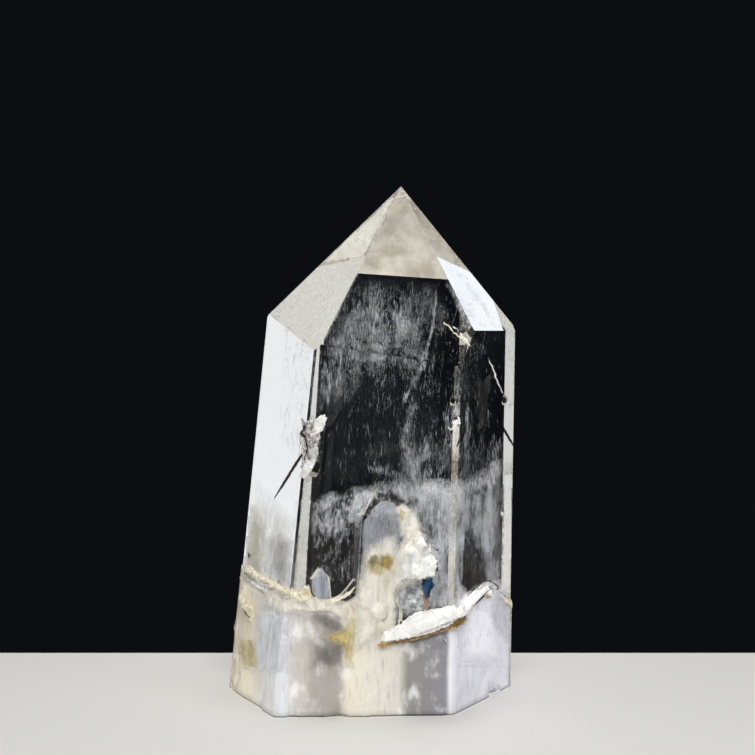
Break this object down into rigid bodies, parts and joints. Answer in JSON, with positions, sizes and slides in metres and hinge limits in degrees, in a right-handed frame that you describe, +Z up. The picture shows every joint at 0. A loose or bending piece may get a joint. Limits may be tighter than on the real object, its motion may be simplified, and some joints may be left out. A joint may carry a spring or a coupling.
{
  "type": "quartz point",
  "caption": "Clear six-sided quartz crystal with a six-faced tip, cut flat at the foot so that it stands, with younger crystals and a stained ledge grown round the foot.",
  "frame": {"origin": "on the flat cut under the foot, under the middle of the outline", "axes": "+Z up towards the tip, -Y out of the broad front face, +X the side the crystal leans to"},
  "size_m": [0.0426, 0.0358, 0.075],
  "materials": {
    "clear_quartz": "natural crystal faces, smooth and bright, see-through",
    "milky_quartz": "cloudy quartz and healed cracks, frosty white",
    "iron_stain": "dull ochre and brown iron stain in cracks and on the ledge"
  },
  "bodies": {
    "root": {"quartz_point": "clear_quartz"}
  },
  "joints": []
}
